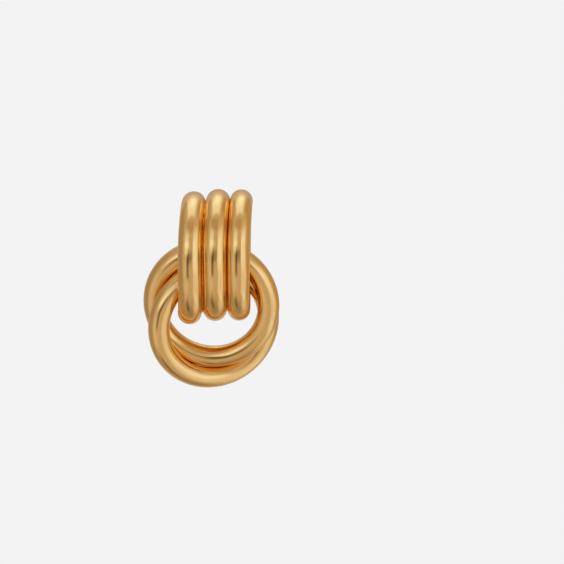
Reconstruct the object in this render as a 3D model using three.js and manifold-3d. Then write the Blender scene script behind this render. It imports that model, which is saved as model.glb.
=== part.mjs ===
// Knot earring: three polished tubes bent into upright oval loops and soldered side by side,
// an ear post on the back of the middle loop, and two linked round tube rings hung through them.
// Millimetres, +Z up, the front of the earring faces -Y. The origin is the ear post's seat, the
// middle of the pad face that the ear lobe meets, and the post runs along +Y.
import * as THREE from 'three';
import { mergeVertices } from 'three/addons/utils/BufferGeometryUtils.js';
import Module from 'manifold-3d';

const wasm = await Module();
wasm.setup();

// --- driving dimensions ---------------------------------------------------------------------
// Each loop was bent by hand: its tube's radius, its centre line from the widest level up to the
// top and down to the bottom, how high it was soldered, and how far its bottom leans towards +X.
const LEFT_LOOP = { x: -4.19, radius: 2.17, upper: 9.2, lower: 10.4, rise: -0.42, foot: -0.38 };
const MIDDLE_LOOP = { x: 0.18, radius: 2.18, upper: 9.18, lower: 10.2, rise: 0, foot: -0.18 };
const RIGHT_LOOP = { x: 4.33, radius: 2.03, upper: 9.22, lower: 10.34, rise: 0.05, foot: 0 };
const LOOP_HALF_DEPTH = 7.17;     // centre line of a loop, front to back
const LOOP_SQUARENESS = { upper: 2.3, lower: 2.18 };   // 2 is an ellipse
const TOP_LEAN = 0.46;            // the loops' tops lean this far towards +X
const LEAN_START = 9.9;           // the lean starts this far below the centre line's top
const SOLDER_HALF_WIDTH = 0.5;    // seam of solder between two loops, across the seam
const SOLDER_HALF_DEPTH = 0.5;    // and into the groove

const RING_RADIUS = 10.39;        // centre line of both rings
const RING_TUBE_RADIUS = 1.89;
// centres are from the loops' middle axis; lean and turn are about X and then Z, in degrees
const REAR_RING = { x: -0.69, y: -0.1, z: -9.3, lean: 11.7, turn: -5.4 };
const FRONT_RING = { x: -0.24, y: 0.99, z: -13.13, lean: 8.6, turn: 19.3 };

const PAD = { radius: 2.2, thickness: 0.7, bevel: 0.2 };
const SEAT_BOSS = { radius: 1.5, depth: 2.0, proud: 0.12 };   // flat of solder behind the pad
const POST = { radius: 0.45, length: 10.6, tip: 0.3, groove: 0.1, grooveAt: 7.6, grooveLength: 0.9 };
const POST_ABOVE_WIDEST = 3.6;    // the post's height over the loops' widest level

const STEPS = { bar: 14, loop: 44, ring: 14, turn: 60, post: 20 };

// the loops' middle axis (x = 0) and widest level, seen from the post's seat
const BACK_OF_LOOPS = -(PAD.thickness + SEAT_BOSS.proud);
const LOOPS = { y: BACK_OF_LOOPS - MIDDLE_LOOP.radius - LOOP_HALF_DEPTH, z: -POST_ABOVE_WIDEST };

const gold = (shade) => new THREE.MeshStandardMaterial({ color: shade, metalness: 1, roughness: 0.16 });

// --- solids ---------------------------------------------------------------------------------
function toManifold(geometry) {
  const bare = geometry.clone();
  bare.deleteAttribute('normal');
  bare.deleteAttribute('uv');
  const merged = mergeVertices(bare, 1e-5);
  return new wasm.Manifold(new wasm.Mesh({
    numProp: 3,
    vertProperties: new Float32Array(merged.attributes.position.array),
    triVerts: new Uint32Array(merged.index.array),
  }));
}

function toGeometry(solid) {
  const mesh = solid.getMesh();
  const geometry = new THREE.BufferGeometry();
  geometry.setAttribute('position', new THREE.BufferAttribute(new Float32Array(mesh.vertProperties), 3));
  geometry.setIndex(new THREE.BufferAttribute(new Uint32Array(mesh.triVerts), 1));
  geometry.computeVertexNormals();
  return geometry;
}

// The closed centre line of one loop: an upright oval, fuller above than below.
function loopCurve({ x, upper, lower, rise, foot }) {
  const power = (value, exponent) => Math.sign(value) * Math.abs(value) ** exponent;
  const points = [];
  for (let k = 0; k < 96; k++) {
    const angle = (k / 96) * 2 * Math.PI;
    const up = Math.sin(angle) >= 0;
    const exponent = 2 / (up ? LOOP_SQUARENESS.upper : LOOP_SQUARENESS.lower);
    const y = LOOP_HALF_DEPTH * power(Math.cos(angle), exponent);
    const z = (up ? upper : lower) * power(Math.sin(angle), exponent);
    const topLean = TOP_LEAN * Math.max(0, 1 + (z - upper) / LEAN_START) ** 2;
    const footLean = foot * Math.max(0, -z / lower) ** 6;
    points.push(new THREE.Vector3(x + topLean + footLean, y, z + rise));
  }
  return new THREE.CatmullRomCurve3(points, true, 'centripetal');
}

// A torus laid along a loop's centre line, with any section given as [across, outwards] pairs.
function tubeAlong(curve, section) {
  const geometry = new THREE.TorusGeometry(2, 1, section.length, STEPS.loop);
  const position = geometry.attributes.position;
  const across = new THREE.Vector3(1, 0, 0);
  for (let i = 0; i <= STEPS.loop; i++) {
    const at = (i % STEPS.loop) / STEPS.loop;
    const centre = curve.getPointAt(at);
    const outwards = new THREE.Vector3().crossVectors(curve.getTangentAt(at), across).normalize();
    if (outwards.dot(centre) < 0) outwards.negate();
    for (let j = 0; j <= section.length; j++) {
      const [u, v] = section[j % section.length];
      const point = centre.clone().addScaledVector(across, u).addScaledVector(outwards, v);
      position.setXYZ(j * (STEPS.loop + 1) + i, point.x, point.y, point.z);
    }
  }
  return geometry;
}

const roundSection = (radius, steps) => Array.from({ length: steps }, (_, j) => {
  const angle = (j / steps) * 2 * Math.PI;
  return [radius * Math.cos(angle), -radius * Math.sin(angle)];
});

// --- the pieces -----------------------------------------------------------------------------
// The line of solder midway between two loops, where their tubes touch.
function seamBetween(a, b) {
  const mean = (key) => (a[key] + b[key]) / 2;
  const x = (a.x + a.radius + b.x - b.radius) / 2;
  return { x, upper: mean('upper'), lower: mean('lower'), rise: mean('rise'), foot: mean('foot') };
}

function barLoops() {
  const tubes = [LEFT_LOOP, MIDDLE_LOOP, RIGHT_LOOP];
  const seams = [seamBetween(LEFT_LOOP, MIDDLE_LOOP), seamBetween(MIDDLE_LOOP, RIGHT_LOOP)];
  const [w, d] = [SOLDER_HALF_WIDTH, SOLDER_HALF_DEPTH];
  const flat = [[w, d], [w, -d], [-w, -d], [-w, d]];
  const solids = [
    ...tubes.map((loop) => toManifold(tubeAlong(loopCurve(loop), roundSection(loop.radius, STEPS.bar)))),
    ...seams.map((seam) => toManifold(tubeAlong(loopCurve(seam), flat))),
  ].map((solid) => solid.translate([0, LOOPS.y, LOOPS.z]));
  const boss = new THREE.CylinderGeometry(SEAT_BOSS.radius, SEAT_BOSS.radius, SEAT_BOSS.depth, STEPS.post);
  boss.translate(0, -PAD.thickness - SEAT_BOSS.depth / 2, 0);
  const joined = [...solids, toManifold(boss)].reduce((sum, solid) => sum.add(solid));
  const mesh = new THREE.Mesh(toGeometry(joined), gold(0xd9a65c));
  mesh.name = 'bar_loops';
  return mesh;
}

function earPost() {
  const { radius, length, tip, groove, grooveAt, grooveLength } = POST;
  const profile = [
    [0, -PAD.thickness], [PAD.radius, -PAD.thickness], [PAD.radius, -PAD.bevel],
    [PAD.radius - PAD.bevel, 0], [radius, 0],
    [radius, grooveAt], [radius - groove, grooveAt + grooveLength * 0.3],
    [radius - groove, grooveAt + grooveLength * 0.7], [radius, grooveAt + grooveLength],
    [radius, length - tip], [radius * 0.55, length - tip * 0.2], [0, length],
  ].map(([r, y]) => new THREE.Vector2(r, y));
  const mesh = new THREE.Mesh(new THREE.LatheGeometry(profile, STEPS.post), gold(0xd9a65c));
  mesh.name = 'ear_post';
  return mesh;
}

function roundRing(name, seat) {
  const profile = [];
  for (let j = 0; j <= STEPS.ring; j++) {
    const angle = ((j % STEPS.ring) / STEPS.ring) * 2 * Math.PI;
    profile.push(new THREE.Vector2(
      RING_RADIUS + RING_TUBE_RADIUS * Math.cos(angle), RING_TUBE_RADIUS * Math.sin(angle)));
  }
  const mesh = new THREE.Mesh(new THREE.LatheGeometry(profile, STEPS.turn), gold(0xdca95f));
  mesh.name = name;
  mesh.rotation.set(THREE.MathUtils.degToRad(seat.lean), 0, THREE.MathUtils.degToRad(seat.turn), 'ZYX');
  mesh.position.set(seat.x, LOOPS.y + seat.y, LOOPS.z + seat.z);
  return mesh;
}

const group = new THREE.Group();
group.name = 'knot_earring';
group.add(
  barLoops(),
  earPost(),
  roundRing('ring_rear', REAR_RING),
  roundRing('ring_front', FRONT_RING),
);

export default group;
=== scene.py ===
"""Polished gold knot earring, laid out as a Blender add-on.

Soldered tube loops stand on an ear post, and two linked round rings hang through them.
"""

import math

import bpy
import numpy as np
from bpy.props import FloatProperty, FloatVectorProperty, PointerProperty
from mathutils import Euler, Matrix, Vector


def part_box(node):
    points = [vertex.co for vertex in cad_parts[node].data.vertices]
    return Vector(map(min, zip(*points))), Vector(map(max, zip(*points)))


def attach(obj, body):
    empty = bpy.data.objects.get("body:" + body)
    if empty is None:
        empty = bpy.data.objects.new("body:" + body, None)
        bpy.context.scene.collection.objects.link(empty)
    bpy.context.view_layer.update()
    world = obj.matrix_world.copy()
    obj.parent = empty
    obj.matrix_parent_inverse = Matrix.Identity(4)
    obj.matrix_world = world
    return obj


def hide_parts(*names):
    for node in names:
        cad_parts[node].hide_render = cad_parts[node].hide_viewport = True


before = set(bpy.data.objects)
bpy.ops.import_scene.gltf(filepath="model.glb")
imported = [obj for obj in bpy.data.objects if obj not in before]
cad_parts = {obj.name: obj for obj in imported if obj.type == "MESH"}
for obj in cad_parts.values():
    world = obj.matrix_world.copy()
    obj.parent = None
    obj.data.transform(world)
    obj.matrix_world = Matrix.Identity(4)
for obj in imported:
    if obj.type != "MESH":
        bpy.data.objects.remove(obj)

bl_info = {
    "name": "Knot earring",
    "version": (1, 0, 0),
    "blender": (4, 5, 0),
    "location": "View3D > Sidebar > Earring",
    "description": "Builds a polished gold knot earring with its material and a pale studio",
    "category": "Add Mesh",
}

MM = 0.001
DEGREES = 180.0 / math.pi    # in a radian
FULL_TURN = 2.0 * math.pi
ALONG_X = np.array([1.0, 0.0, 0.0])

# How finely the pieces are meshed.
TUBE_SIDES = 64
SEAM_SIDES = 24
LATHE_SIDES = 48
OVAL_SAMPLES = 4000
LOOP_STEPS = 288
RING_STEPS = 320

POST_LOW, POST_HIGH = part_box("ear_post")


def middle(node):
    """The middle of a solid's box."""
    low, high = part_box(node)
    return tuple((low + high) / 2.0)


# --- settings ---------------------------------------------------------------------------------
class LoopSizes(bpy.types.PropertyGroup):
    """The three soldered tube loops."""

    across: FloatVectorProperty(
        name="Across", description="Where the left, middle and right loop stand", size=3,
        default=(-4.19 * MM, 0.18 * MM, 4.33 * MM), unit="LENGTH", precision=5)
    tube_radius: FloatVectorProperty(
        name="Tube radius", description="Outer radius of each loop's tube", size=3,
        default=(2.17 * MM, 2.18 * MM, 2.03 * MM), unit="LENGTH", precision=5)
    half_depth: FloatProperty(
        name="Half depth", description="Centre line of a loop, front to back, halved",
        default=7.17 * MM, unit="LENGTH", precision=5)
    upper: FloatVectorProperty(
        name="Upper height", description="Centre line, from the widest level to the top", size=3,
        default=(9.20 * MM, 9.18 * MM, 9.22 * MM), unit="LENGTH", precision=5)
    lower: FloatVectorProperty(
        name="Lower height", description="Centre line, from the widest level to the bottom", size=3,
        default=(10.40 * MM, 10.20 * MM, 10.34 * MM), unit="LENGTH", precision=5)
    squareness: FloatVectorProperty(
        name="Squareness", description="Exponents of the upper and lower halves, 2 is an ellipse",
        size=2, default=(2.3, 2.18))
    rise: FloatVectorProperty(
        name="Rise", description="How high the left, middle and right loop were soldered",
        size=3, default=(-0.42 * MM, 0.0, 0.05 * MM), unit="LENGTH", precision=5)
    foot_lean: FloatVectorProperty(
        name="Foot lean", description="How far the bottom of each loop leans sideways", size=3,
        default=(-0.38 * MM, -0.18 * MM, 0.0), unit="LENGTH", precision=5)
    top_lean: FloatProperty(
        name="Top lean", description="How far the tops lean sideways", default=0.46 * MM,
        unit="LENGTH", precision=5)
    lean_length: FloatProperty(
        name="Lean length", description="How far under the top the lean starts",
        default=9.9 * MM, unit="LENGTH", precision=5)
    centre: FloatVectorProperty(
        name="Centre", description="Middle axis and widest level of the loops", size=3,
        default=(0.0, -10.17 * MM, -3.6 * MM), subtype="XYZ", unit="LENGTH", precision=5)
    seam: FloatVectorProperty(
        name="Seam", description="Solder in each groove, half across and half front to back",
        size=2, default=(0.30 * MM, 0.36 * MM), unit="LENGTH", precision=5)


class RingSizes(bpy.types.PropertyGroup):
    """The two linked rings."""

    radius: FloatProperty(
        name="Ring radius", description="Centre line of both rings", default=10.39 * MM,
        unit="LENGTH", precision=5)
    tube_radius: FloatProperty(
        name="Ring tube radius", description="Outer radius of the rings' tube",
        default=1.935 * MM, unit="LENGTH", precision=5)
    rear_centre: FloatVectorProperty(
        name="Rear centre", description="Middle of the rear ring", size=3,
        default=middle("ring_rear"), subtype="XYZ", unit="LENGTH", precision=5)
    rear_angles: FloatVectorProperty(
        name="Rear angles", description="Lean about X, then turn about Z", size=3,
        default=(math.radians(11.7), 0.0, math.radians(-5.4)), subtype="EULER")
    front_centre: FloatVectorProperty(
        name="Front centre", description="Middle of the front ring", size=3,
        default=middle("ring_front"), subtype="XYZ", unit="LENGTH", precision=5)
    front_angles: FloatVectorProperty(
        name="Front angles", description="Lean about X, then turn about Z", size=3,
        default=(math.radians(8.6), 0.0, math.radians(19.3)), subtype="EULER")


class PostSizes(bpy.types.PropertyGroup):
    """The ear post, its pad and the solder that holds it."""

    pad_radius: FloatProperty(
        name="Pad radius", description="Round pad against the lobe", default=2.19 * MM,
        unit="LENGTH", precision=5)
    pad_thickness: FloatProperty(
        name="Pad thickness", description="Thickness of the pad", default=-POST_LOW.y,
        unit="LENGTH", precision=5)
    bevel: FloatProperty(
        name="Pad bevel", description="Worn edge of the pad", default=0.18 * MM,
        unit="LENGTH", precision=5)
    radius: FloatProperty(
        name="Post radius", description="Radius of the post", default=0.45 * MM,
        unit="LENGTH", precision=5)
    length: FloatProperty(
        name="Post length", description="From the pad to the tip", default=POST_HIGH.y,
        unit="LENGTH", precision=5)
    groove_start: FloatProperty(
        name="Groove start", description="From the pad to the groove that holds the nut",
        default=7.6 * MM, unit="LENGTH", precision=5)
    groove_depth: FloatProperty(
        name="Groove depth", description="Depth of the groove", default=0.1 * MM,
        unit="LENGTH", precision=5)
    boss_radius: FloatProperty(
        name="Solder radius", description="Solder between the pad and the middle loop",
        default=1.5 * MM, unit="LENGTH", precision=5)


class GoldLook(bpy.types.PropertyGroup):
    """Colours and polish of the gold."""

    bright: FloatVectorProperty(
        name="Bright gold", description="Colour of the fresh plating", size=3,
        default=(0.94, 0.61, 0.23), subtype="COLOR", min=0.0, max=1.0)
    deep: FloatVectorProperty(
        name="Deep gold", description="Colour where the plating is thicker", size=3,
        default=(0.91, 0.57, 0.20), subtype="COLOR", min=0.0, max=1.0)
    # The solder's dark colour is painted shade in the grooves between the loops and round the
    # collar.
    solder: FloatVectorProperty(
        name="Solder gold", description="Colour of the soldered seams", size=3,
        default=(0.42, 0.15, 0.03), subtype="COLOR", min=0.0, max=1.0)
    roughness: FloatProperty(
        name="Roughness", description="Roughness of the polished tube", default=0.10,
        subtype="FACTOR", min=0.0, max=1.0)
    waviness: FloatProperty(
        name="Waviness", description="Height of the slow unevenness left by bending and polishing",
        default=0.035 * MM, unit="LENGTH", precision=6)
    scratch: FloatProperty(
        name="Scratch depth", description="Depth of the fine polishing marks",
        default=0.002 * MM, unit="LENGTH", precision=6)


class StudioSettings(bpy.types.PropertyGroup):
    """Floor, lights and camera."""

    floor_level: FloatProperty(
        name="Floor level", description="Height of the floor, measured from the post",
        default=-0.45, unit="LENGTH")
    pale: FloatVectorProperty(
        name="Pale", description="Colour of the floor and of the studio", size=3,
        default=(0.896, 0.896, 0.896), subtype="COLOR", min=0.0, max=1.0)
    darkest: FloatProperty(
        name="Darkest", description="Least light that the gold reflects from any side",
        default=0.06, min=0.0)
    lens: FloatProperty(
        name="Lens", description="Focal length on a 36 mm sensor", default=141.8,
        unit="CAMERA")
    distance: FloatProperty(
        name="Distance", description="From the camera to the middle of the picture",
        default=0.4, unit="LENGTH")
    elevation: FloatProperty(
        name="Elevation", description="How far above the earring the camera stands",
        default=math.radians(10.0), subtype="ANGLE")
    aim: FloatVectorProperty(
        name="Aim", description="Point in the middle of the picture", size=3,
        default=(12.064 * MM, -10.17 * MM, -9.012 * MM), subtype="XYZ", unit="LENGTH", precision=5)


# --- shader helpers ---------------------------------------------------------------------------
class Value:
    """A node socket that takes part in plain arithmetic."""

    def __init__(self, tree, socket):
        self.tree = tree
        self.socket = socket

    def node(self, kind, settings=None, inputs=None, output=0):
        """Adds a node of this kind and returns one of its outputs."""
        return add_node(self.tree, kind, settings, inputs, output)

    def parts(self):
        """The vector's x, y and z."""
        first = self.node("ShaderNodeSeparateXYZ", {}, {0: self})
        return [Value(self.tree, socket) for socket in first.socket.node.outputs]

    def _math(self, operation, *terms):
        return self.node("ShaderNodeMath", {"operation": operation}, dict(enumerate(terms)))

    def __add__(self, other):
        return self._math("ADD", self, other)

    def __radd__(self, other):
        return self._math("ADD", other, self)

    def __sub__(self, other):
        return self._math("SUBTRACT", self, other)

    def __rsub__(self, other):
        return self._math("SUBTRACT", other, self)

    def __mul__(self, other):
        return self._math("MULTIPLY", self, other)

    def __rmul__(self, other):
        return self._math("MULTIPLY", other, self)

    def __abs__(self):
        return self._math("ABSOLUTE", self)

    def step(self, start, end, low=0.0, high=1.0):
        """Smoothly from low to high as the value goes from start to end."""
        return self.node(
            "ShaderNodeMapRange", {"interpolation_type": "SMOOTHSTEP"},
            {"Value": self, "From Min": start, "From Max": end, "To Min": low, "To Max": high})

    def band(self, start, full, fade, end):
        """Rises smoothly from start to full, and falls again from fade to end."""
        return self.step(start, full) * self.step(fade, end, 1.0, 0.0)


def plug(tree, socket, value):
    """Links a Value to a socket, or sets the socket to a constant."""
    if isinstance(value, Value):
        tree.links.new(value.socket, socket)
    else:
        socket.default_value = value


def add_node(tree, kind, settings=None, inputs=None, output=0):
    """Adds a node to a tree, with its settings first, and returns one of its outputs."""
    node = tree.nodes.new(kind)
    for name, value in (settings or {}).items():
        setattr(node, name, value)
    for name, value in (inputs or {}).items():
        plug(tree, node.inputs[name], value)
    return Value(tree, node.outputs[output])


def mix_colour(factor, first, second):
    """From the first colour to the second as the factor goes from 0 to 1."""
    first, second = (c if isinstance(c, Value) else (*c, 1.0) for c in (first, second))
    return factor.node(
        "ShaderNodeMix", {"data_type": "RGBA"}, {0: factor, 6: first, 7: second}, output=2)


def noise(vector, scale, detail, roughness=0.5):
    """Soft noise around 0.5."""
    return vector.node(
        "ShaderNodeTexNoise", {},
        {"Vector": vector, "Scale": scale, "Detail": detail, "Roughness": roughness})


def stretched(vector, scale):
    """The vector times a scale for each axis."""
    return vector.node("ShaderNodeVectorMath", {"operation": "MULTIPLY"}, {0: vector, 1: scale})


# --- gold -------------------------------------------------------------------------------------
# Scales of the noises in the metal, for each metre.
UNEVENNESS = 210.0
SMUDGES = 620.0
SOLDER_FLOW = 900.0
# Marks that run along a tube and round the post, as scales of the UVs.
POLISHING_MARKS = (0.35, 9.0, 1.0)
NICKS = (2.2, 3.4, 1.0)
NICK_DEPTH = 0.7    # as a share of the marks'
# What each adds to the roughness of polished gold.
MARK_WEAR = 0.05
SMUDGE_WEAR = 0.05
NICK_WEAR = 0.06
# How much rougher solder is, everywhere and where it flowed.
SOLDER_WEAR = 0.12
FLOW_WEAR = 0.2


class GoldSurface:
    """What every gold material starts from: slow unevenness, polishing marks and nicks."""

    def __init__(self, name):
        self.material = bpy.data.materials.new(name)
        self.material.use_nodes = True
        tree = self.material.node_tree
        self.place = add_node(tree, "ShaderNodeTexCoord", output="Object")
        along = add_node(tree, "ShaderNodeTexCoord", output="UV")
        self.unevenness = noise(self.place, UNEVENNESS, detail=2.0)
        self.marks = noise(stretched(along, POLISHING_MARKS), 1.0, detail=3.0, roughness=0.65)
        self.nicks = noise(stretched(along, NICKS), 1.0, detail=1.0).step(0.68, 0.78)

    def finish(self, look, colour, roughness):
        """Gives the surface its colour, roughness and relief, and returns the material."""
        relief = (self.marks - self.nicks * NICK_DEPTH) * look.scratch
        height = self.unevenness * look.waviness + relief
        bump = height.node(
            "ShaderNodeBump", {}, {"Strength": 1.0, "Distance": 1.0, "Height": height})
        tree = self.material.node_tree
        shader = tree.nodes["Principled BSDF"]
        shader.inputs["Metallic"].default_value = 1.0
        plug(tree, shader.inputs["Base Color"], colour)
        plug(tree, shader.inputs["Roughness"], roughness)
        plug(tree, shader.inputs["Normal"], bump)
        return self.material


def polished_gold(name, look):
    """Polished plate, with a deeper tone here and there and faint smudges."""
    gold = GoldSurface(name)
    smudges = noise(gold.place, SMUDGES, detail=3.0, roughness=0.6)
    tone = gold.unevenness.step(0.35, 0.65) * 0.6 + smudges.step(0.4, 0.7) * 0.4
    roughness = look.roughness + gold.marks * MARK_WEAR
    roughness = roughness + smudges.step(0.5, 0.8) * SMUDGE_WEAR + gold.nicks * NICK_WEAR
    return gold.finish(look, mix_colour(tone, look.bright, look.deep), roughness)


def solder_gold_painted_shade(name, look):
    """Plated solder, rougher than the tubes; its darker colour is painted shade in the grooves
    between the loops and round the collar.
    """
    gold = GoldSurface(name)
    flow = noise(gold.place, SOLDER_FLOW, detail=3.0, roughness=0.7)
    # The dark solder colour is painted groove shade, broken up at random by the flow.
    colour = mix_colour(flow.step(0.3, 0.7), look.solder, look.deep)
    return gold.finish(look, colour, look.roughness + SOLDER_WEAR + flow * FLOW_WEAR)


# --- mesh helpers -----------------------------------------------------------------------------
def mesh_object(name, points, faces, uvs, materials, slots=None):
    """A smooth object from arrays of points, quads and one UV for each corner."""
    mesh = bpy.data.meshes.new(name)
    mesh.from_pydata(points.tolist(), [], faces.tolist())
    layer = mesh.uv_layers.new(name="Along the tube")
    layer.data.foreach_set("uv", uvs.reshape(-1).astype(np.float32))
    for material in materials:
        mesh.materials.append(material)
    if slots is not None:
        mesh.polygons.foreach_set("material_index", slots.astype(np.int32))
    mesh.shade_smooth()
    mesh.update()
    obj = bpy.data.objects.new(name, mesh)
    bpy.context.scene.collection.objects.link(obj)
    return obj


def circle(radius, sides):
    """Points spaced evenly round a circle."""
    angles = np.linspace(0.0, FULL_TURN, sides, endpoint=False)
    return np.stack([radius * np.cos(angles), radius * np.sin(angles)], -1)


def quads(rows, along, around, corners):
    """Quads between rows of points that close round their sides, with a UV for each corner.

    along and around hold the UVs of the rows and of the sides. corners lists a quad's corners in
    order, each by its steps (along, around) from the quad's first row and side.
    """
    sides = len(around) - 1
    i, j = np.meshgrid(np.arange(len(along) - 1), np.arange(sides), indexing="ij")
    faces = np.stack([(i + a) % rows * sides + (j + b) % sides for a, b in corners], -1)
    uvs = np.stack([np.stack([along[i + a], around[j + b]], -1) for a, b in corners], 2)
    return faces.reshape(-1, 4), uvs.reshape(-1, 4, 2)


def running_length(edges):
    """How far along a line each of its edges starts, and how long they are together."""
    return np.concatenate([[0.0], np.cumsum(np.linalg.norm(edges, axis=1))])


def closed_tube(centres, outwards, section):
    """Points, quads and UVs of a section swept along a closed line.

    The line stands in a YZ plane, or nearly so. The section's points are pairs: how far to the
    side, along X, and how far outwards.
    """
    points = (centres[:, None, :] + section[None, :, :1] * ALONG_X
              + section[None, :, 1:] * outwards[:, None, :]).reshape(-1, 3)
    along = running_length(np.roll(centres, -1, 0) - centres) / MM
    around = running_length(np.roll(section, -1, 0) - section) / MM
    return points, *quads(len(centres), along, around, ((0, 0), (0, 1), (1, 1), (1, 0)))


def lathe(profile):
    """Points, quads and UVs of a profile of (radius, y) pairs turned about the Y axis."""
    profile = np.array(profile)
    radius = profile[:, :1]
    y = np.repeat(profile[:, 1:], LATHE_SIDES, axis=1)
    x, z = (radius * turned for turned in circle(1.0, LATHE_SIDES).T)
    along = running_length(np.diff(profile, axis=0)) / MM
    around = np.linspace(0.0, FULL_TURN, LATHE_SIDES + 1)
    faces, uvs = quads(len(profile), along, around, ((0, 0), (1, 0), (1, 1), (0, 1)))
    return np.stack([x, y, z], -1).reshape(-1, 3), faces, uvs[..., ::-1]


def joined(parts):
    """Several (points, faces, uvs, slot) parts as one."""
    points, faces, uvs, slots, count = [], [], [], [], 0
    for part_points, part_faces, part_uvs, slot in parts:
        points.append(part_points)
        faces.append(part_faces + count)
        uvs.append(part_uvs)
        slots.append(np.full(len(part_faces), slot))
        count += len(part_points)
    return [np.concatenate(part) for part in (points, faces, uvs, slots)]


# The lean at a loop's foot grows with this power, and the loop's line is smoothed this often.
FOOT_POWER = 6
SMOOTHING = 3


def loop_line(sizes, x, upper, lower, rise, foot):
    """Centre line and outward directions of one upright oval loop, evenly spaced."""
    cosine, sine = circle(1.0, OVAL_SAMPLES).T
    up = sine >= 0.0
    power = 2.0 / np.where(up, sizes.squareness[0], sizes.squareness[1])
    y = sizes.half_depth * np.sign(cosine) * np.abs(cosine) ** power
    z = np.where(up, upper, lower) * np.sign(sine) * np.abs(sine) ** power
    lean = sizes.top_lean * np.clip(1.0 + (z - upper) / sizes.lean_length, 0.0, None) ** 2
    lean += foot * np.clip(-z / lower, 0.0, None) ** FOOT_POWER
    line = np.stack([x + lean, y, z + rise], -1)
    closed = np.concatenate([line, line[:1]])
    length = running_length(np.diff(closed, axis=0))
    at = np.linspace(0.0, length[-1], LOOP_STEPS, endpoint=False)
    centres = np.stack([np.interp(at, length, closed[:, k]) for k in range(3)], -1)
    for _ in range(SMOOTHING):
        centres = (np.roll(centres, 1, 0) + 2.0 * centres + np.roll(centres, -1, 0)) / 4.0
    tangents = np.roll(centres, -1, 0) - np.roll(centres, 1, 0)
    outwards = np.cross(tangents, ALONG_X)
    outwards /= np.linalg.norm(outwards, axis=1)[:, None]
    return centres + np.array(sizes.centre), outwards


# --- pieces -----------------------------------------------------------------------------------
# Outlines of the post's details. Lengths are in millimetres.
# The foot's pairs are how far out from the post and how far from the pad.
FOOT = ((0.35, 0.0), (0.12, 0.08), (0.0, 0.35))
# The groove's pairs are how far along it and the share of its depth.
GROOVE = ((0.0, 0.0), (0.15, 0.5), (0.35, 1.0), (0.55, 1.0), (0.75, 0.5), (0.90, 0.0))
# The tip's pairs are the share of the post's radius and how far short of the end.
TIP = ((1.0, 0.35), (0.86, 0.16), (0.55, 0.05), (0.0, 0.0))
# The collar's pairs are the share of the solder's radius and how far in front of the pad.
COLLAR = ((1.24, 2.0), (1.1, 0.85), (1.0, 0.35), (1.0, 0.02))


class EARRING_OT_bar_loops(bpy.types.Operator):
    """Builds the three tube loops with the solder that joins them"""

    bl_idname = "earring.bar_loops"
    bl_label = "Soldered loops"

    def execute(self, context):
        sizes, look = context.scene.earring_loops, context.scene.earring_gold
        post = context.scene.earring_post
        parts = []
        shapes = np.array([sizes.across, sizes.tube_radius, sizes.upper, sizes.lower, sizes.rise,
                           sizes.foot_lean]).T
        for x, radius, *shape in shapes:
            centres, outwards = loop_line(sizes, x, *shape)
            parts.append((*closed_tube(centres, outwards, circle(radius, TUBE_SIDES)), 0))
        seam = circle(1.0, SEAM_SIDES) * np.array(sizes.seam)
        for left, right in zip(shapes, shapes[1:]):
            touching = (left[0] + left[1] + right[0] - right[1]) / 2
            centres, outwards = loop_line(sizes, touching, *(left[2:] + right[2:]) / 2)
            # Slot 1 is the solder, painted darker as shade in the groove.
            parts.append((*closed_tube(centres, outwards, seam), 1))
        front, solder = -post.pad_thickness, post.boss_radius
        # The collar takes the solder material too, with its painted shade.
        parts.append((*lathe([(solder * share, front - gap * MM) for share, gap in COLLAR]), 1))
        points, faces, uvs, slots = joined(parts)
        loops = mesh_object(
            "soldered_loops", points, faces, uvs,
            [polished_gold("polished_gold_loops", look), solder_gold_painted_shade("solder_seam_painted_shade", look)], slots)
        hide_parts("bar_loops")
        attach(loops, "loops")
        return {"FINISHED"}


class EARRING_OT_ear_post(bpy.types.Operator):
    """Builds the ear post and its pad"""

    bl_idname = "earring.ear_post"
    bl_label = "Ear post"

    def execute(self, context):
        sizes, look = context.scene.earring_post, context.scene.earring_gold
        shaft, pad, bevel = sizes.radius, sizes.pad_radius, sizes.bevel
        front, slope = -sizes.pad_thickness, 0.3 * sizes.bevel
        profile = [
            (0.0, front), (pad - bevel, front), (pad - slope, front + slope), (pad, front + bevel),
            (pad, -bevel), (pad - slope, -slope), (pad - bevel, 0.0),
            *((shaft + out * MM, y * MM) for out, y in FOOT),
            *((shaft - sizes.groove_depth * share, sizes.groove_start + y * MM)
              for y, share in GROOVE),
            *((shaft * share, sizes.length - short * MM) for share, short in TIP)]
        points, faces, uvs = lathe(profile)
        post = mesh_object(
            "post_and_pad", points, faces, uvs, [polished_gold("polished_gold_post", look)])
        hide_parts("ear_post")
        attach(post, "loops")
        return {"FINISHED"}


class EARRING_OT_rings(bpy.types.Operator):
    """Builds the two linked rings"""

    bl_idname = "earring.rings"
    bl_label = "Linked rings"

    def execute(self, context):
        sizes, look = context.scene.earring_rings, context.scene.earring_gold
        gold = polished_gold("polished_gold_rings", look)
        outwards = np.insert(circle(1.0, RING_STEPS), 0, 0.0, axis=1)
        tube, faces, uvs = closed_tube(
            outwards * sizes.radius, outwards, circle(sizes.tube_radius, TUBE_SIDES))
        for name, node, centre, angles in (
                ("rear_ring_tube", "ring_rear", sizes.rear_centre, sizes.rear_angles),
                ("front_ring_tube", "ring_front", sizes.front_centre, sizes.front_angles)):
            turned = Euler(angles, "XYZ").to_matrix() @ Matrix.Rotation(math.pi / 2, 3, "Z")
            points = tube @ np.array(turned).T + np.array(centre)
            ring = mesh_object(name, points, faces, uvs, [gold])
            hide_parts(node)
            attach(ring, "drop")
        return {"FINISHED"}


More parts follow.
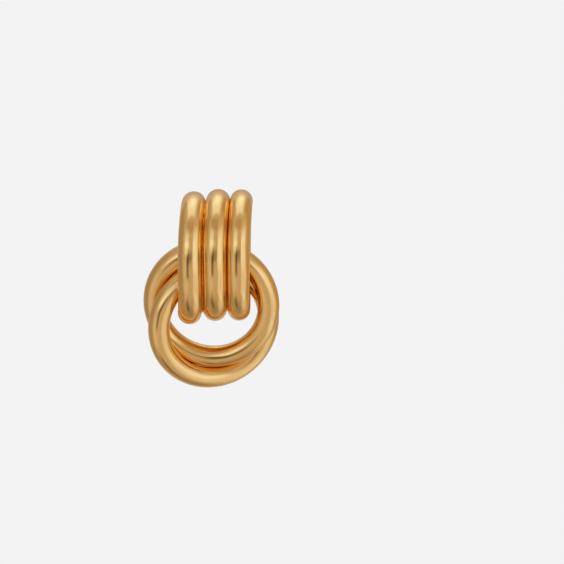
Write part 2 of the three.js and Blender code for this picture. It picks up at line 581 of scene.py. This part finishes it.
# --- studio -----------------------------------------------------------------------------------
# What the gold reflects, in degrees: azimuth 0 is in front of the earring and 90 at its right.
# Each light or shade rises, holds and falls over its azimuths and over its elevations, and adds
# its strength to the room's light.
SOFT_LIGHTS = {
    "right soft box": ((22, 34, 64, 84), (-22, -8, 10, 34), 0.48),
    "top of the right soft box": ((24, 34, 50, 62), (14, 24, 32, 44), 0.08),
    "middle of the right soft box": ((24, 32, 44, 54), (-4, 2, 10, 16), 0.10),
    "foot of the right soft box": ((26, 38, 82, 102), (-54, -44, -20, -8), 0.27),
    "left soft box": ((-60, -42, -20, -6), (-6, 2, 18, 40), 0.40),
    "left table edge": ((-70, -54, -28, -12), (-50, -36, -14, -2), 0.11),
    "low right sheet": ((44, 68, 106, 124), (-74, -62, -48, -34), 0.22),
    "dark stand in front": ((-35, -28, -15, -7), (-28, -22, -7, 0), -0.38),
    "dark arm in front": ((-24, -14, 8, 32), (-12, -8, -2, 3), -0.26),
    "top of the dark stand": ((-24, -19, -13, -8), (-8, -2, 5, 12), -0.30),
    "bright line over the stand": ((-56, -44, -10, 6), (3, 7, 10, 16), 0.24),
    "dark wall above": ((-58, -34, 20, 44), (26, 36, 46, 58), -0.12),
    "dark corner behind on the left": ((-168, -154, -134, -122), (32, 42, 58, 70), -0.18),
    "dark left side": ((-150, -124, -84, -62), (-80, -40, 20, 56), -0.18),
    "dark low left": ((-80, -60, -40, -16), (-86, -72, -60, -46), -0.24),
    "dark right side": ((80, 104, 140, 160), (-44, -20, 40, 64), -0.15),
}
# The room's own light, from below and from its walls.
GROUND_LIGHT = 0.28
WALL_LIGHT = 0.52
# Behind the earring the room is lighter high up, and darker near eye level.
HIGH_BEHIND = 0.18
LOW_BEHIND = 0.10
# Where the box overhead lies, by the direction's x and y, and its light in front and behind.
OVERHEAD_X = (-0.60, -0.36, 0.24, 0.66)
OVERHEAD_Y = (-0.50, -0.26, 0.44, 0.80)
OVERHEAD_LIGHT = (0.46, 0.60)
# A gold card on the right, by its azimuths and its elevations.
GOLD_CARD = ((72, 94, 128, 150), (-34, -14, 22, 42))
# The tints of dim and of bright light, and of what the gold card sends back.
DIM_TINT = (1.16, 1.0, 0.86)
LIT_TINT = (0.90, 1.03, 1.30)
GOLD_CARD_TINT = (1.38, 1.0, 0.62)
# Half of the floor's width, in metres.
FLOOR_HALF = 30.0


def room_light(azimuth, elevation):
    """The light of the room and of what stands in it, by direction."""
    light = elevation.step(-88, -45, GROUND_LIGHT, WALL_LIGHT)
    high = elevation.step(22, 42) * HIGH_BEHIND
    low = elevation.band(-30, -10, 12, 24) * LOW_BEHIND
    light = light + abs(azimuth).step(132, 172) * (high - low)
    for across, up, strength in SOFT_LIGHTS.values():
        light = light + azimuth.band(*across) * elevation.band(*up) * strength
    return light


class EARRING_OT_studio(bpy.types.Operator):
    """Sets up the pale floor, the soft light and the camera"""

    bl_idname = "earring.studio"
    bl_label = "Pale studio"

    def execute(self, context):
        scene, studio = context.scene, context.scene.earring_studio
        self.floor(scene, studio)
        self.world(scene, studio)
        self.camera(scene, studio)
        scene.view_settings.view_transform = "Standard"
        return {"FINISHED"}

    def floor(self, scene, studio):
        """An evenly lit floor, far enough below to show no shadow."""
        mesh = bpy.data.meshes.new("pale_floor")
        corners = [(-1, -1, 0), (1, -1, 0), (1, 1, 0), (-1, 1, 0)]
        mesh.from_pydata([Vector(corner) * FLOOR_HALF for corner in corners], [], [(0, 1, 2, 3)])
        material = bpy.data.materials.new("pale_floor")
        material.use_nodes = True
        shader = material.node_tree.nodes["Principled BSDF"]
        shader.inputs["Base Color"].default_value = (0.0, 0.0, 0.0, 1.0)
        shader.inputs["Specular IOR Level"].default_value = 0.0
        shader.inputs["Emission Color"].default_value = (*studio.pale, 1.0)
        shader.inputs["Emission Strength"].default_value = 1.0
        mesh.materials.append(material)
        floor = bpy.data.objects.new("pale_floor", mesh)
        scene.collection.objects.link(floor)
        floor.location.z = studio.floor_level
        floor.visible_glossy = False
        floor.visible_shadow = False

    def world(self, scene, studio):
        """A pale backdrop for the camera, and a softly graded studio for what the gold reflects."""
        world = bpy.data.worlds.new("pale_studio")
        world.use_nodes = True
        scene.world = world
        tree = world.node_tree
        x, y, z = add_node(tree, "ShaderNodeTexCoord", output="Generated").parts()
        azimuth = x.node("ShaderNodeMath", {"operation": "ARCTAN2"}, {0: x, 1: 0.0 - y}) * DEGREES
        elevation = z.node("ShaderNodeMath", {"operation": "ARCSINE"}, {0: z}) * DEGREES
        light = room_light(azimuth, elevation)
        light = light.node("ShaderNodeMath", {"operation": "MAXIMUM"}, {0: light, 1: studio.darkest})
        overhead = x.band(*OVERHEAD_X) * y.band(*OVERHEAD_Y) * z.step(0.25, 0.45)
        light = light + overhead * y.step(-0.4, 0.3, *OVERHEAD_LIGHT)
        tint = mix_colour(light.step(0.35, 1.1), DIM_TINT, LIT_TINT)
        gold_card = azimuth.band(*GOLD_CARD[0]) * elevation.band(*GOLD_CARD[1])
        tint = mix_colour(gold_card, tint, GOLD_CARD_TINT)
        studio_light = tint.node(
            "ShaderNodeVectorMath", {"operation": "SCALE"}, {0: tint, "Scale": light})
        seen = add_node(tree, "ShaderNodeLightPath", output="Is Camera Ray")
        backdrop = mix_colour(seen, studio_light, studio.pale)
        plug(tree, tree.nodes["Background"].inputs["Color"], backdrop)

    def camera(self, scene, studio):
        """A camera in front that looks a little down on the earring."""
        data = bpy.data.cameras.new("camera")
        data.lens = studio.lens
        data.sensor_width = 36.0
        data.clip_start = 0.01
        data.clip_end = 100.0
        camera = bpy.data.objects.new("camera", data)
        scene.collection.objects.link(camera)
        towards = Vector((0.0, -math.cos(studio.elevation), math.sin(studio.elevation)))
        camera.location = Vector(studio.aim) + towards * studio.distance
        camera.rotation_euler = towards.to_track_quat("Z", "Y").to_euler()
        scene.camera = camera


# --- panel and registration -------------------------------------------------------------------
class EARRING_PT_panel(bpy.types.Panel):
    """Lists the earring's settings and the steps that build it"""

    bl_label = "Knot earring"
    bl_idname = "EARRING_PT_panel"
    bl_space_type = "VIEW_3D"
    bl_region_type = "UI"
    bl_category = "Earring"

    def draw(self, context):
        for name in SETTINGS:
            box = self.layout.box()
            group = getattr(context.scene, name)
            for key in group.__annotations__:
                box.prop(group, key)
        for operator in OPERATORS:
            self.layout.operator(operator.bl_idname)


SETTINGS = {
    "earring_loops": LoopSizes,
    "earring_rings": RingSizes,
    "earring_post": PostSizes,
    "earring_gold": GoldLook,
    "earring_studio": StudioSettings,
}
OPERATORS = (EARRING_OT_bar_loops, EARRING_OT_ear_post, EARRING_OT_rings, EARRING_OT_studio)
CLASSES = (*SETTINGS.values(), *OPERATORS, EARRING_PT_panel)


def register():
    """Registers the classes and puts their settings on the scene."""
    for item in CLASSES:
        bpy.utils.register_class(item)
    for name, group in SETTINGS.items():
        setattr(bpy.types.Scene, name, PointerProperty(type=group))


def unregister():
    """Takes the settings and the classes away again."""
    for name in SETTINGS:
        delattr(bpy.types.Scene, name)
    for item in reversed(CLASSES):
        bpy.utils.unregister_class(item)


def main():
    """Builds the earring and its studio."""
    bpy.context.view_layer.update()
    register()
    bpy.ops.earring.bar_loops()
    bpy.ops.earring.ear_post()
    bpy.ops.earring.rings()
    bpy.ops.earring.studio()


if __name__ == "__main__":
    main()
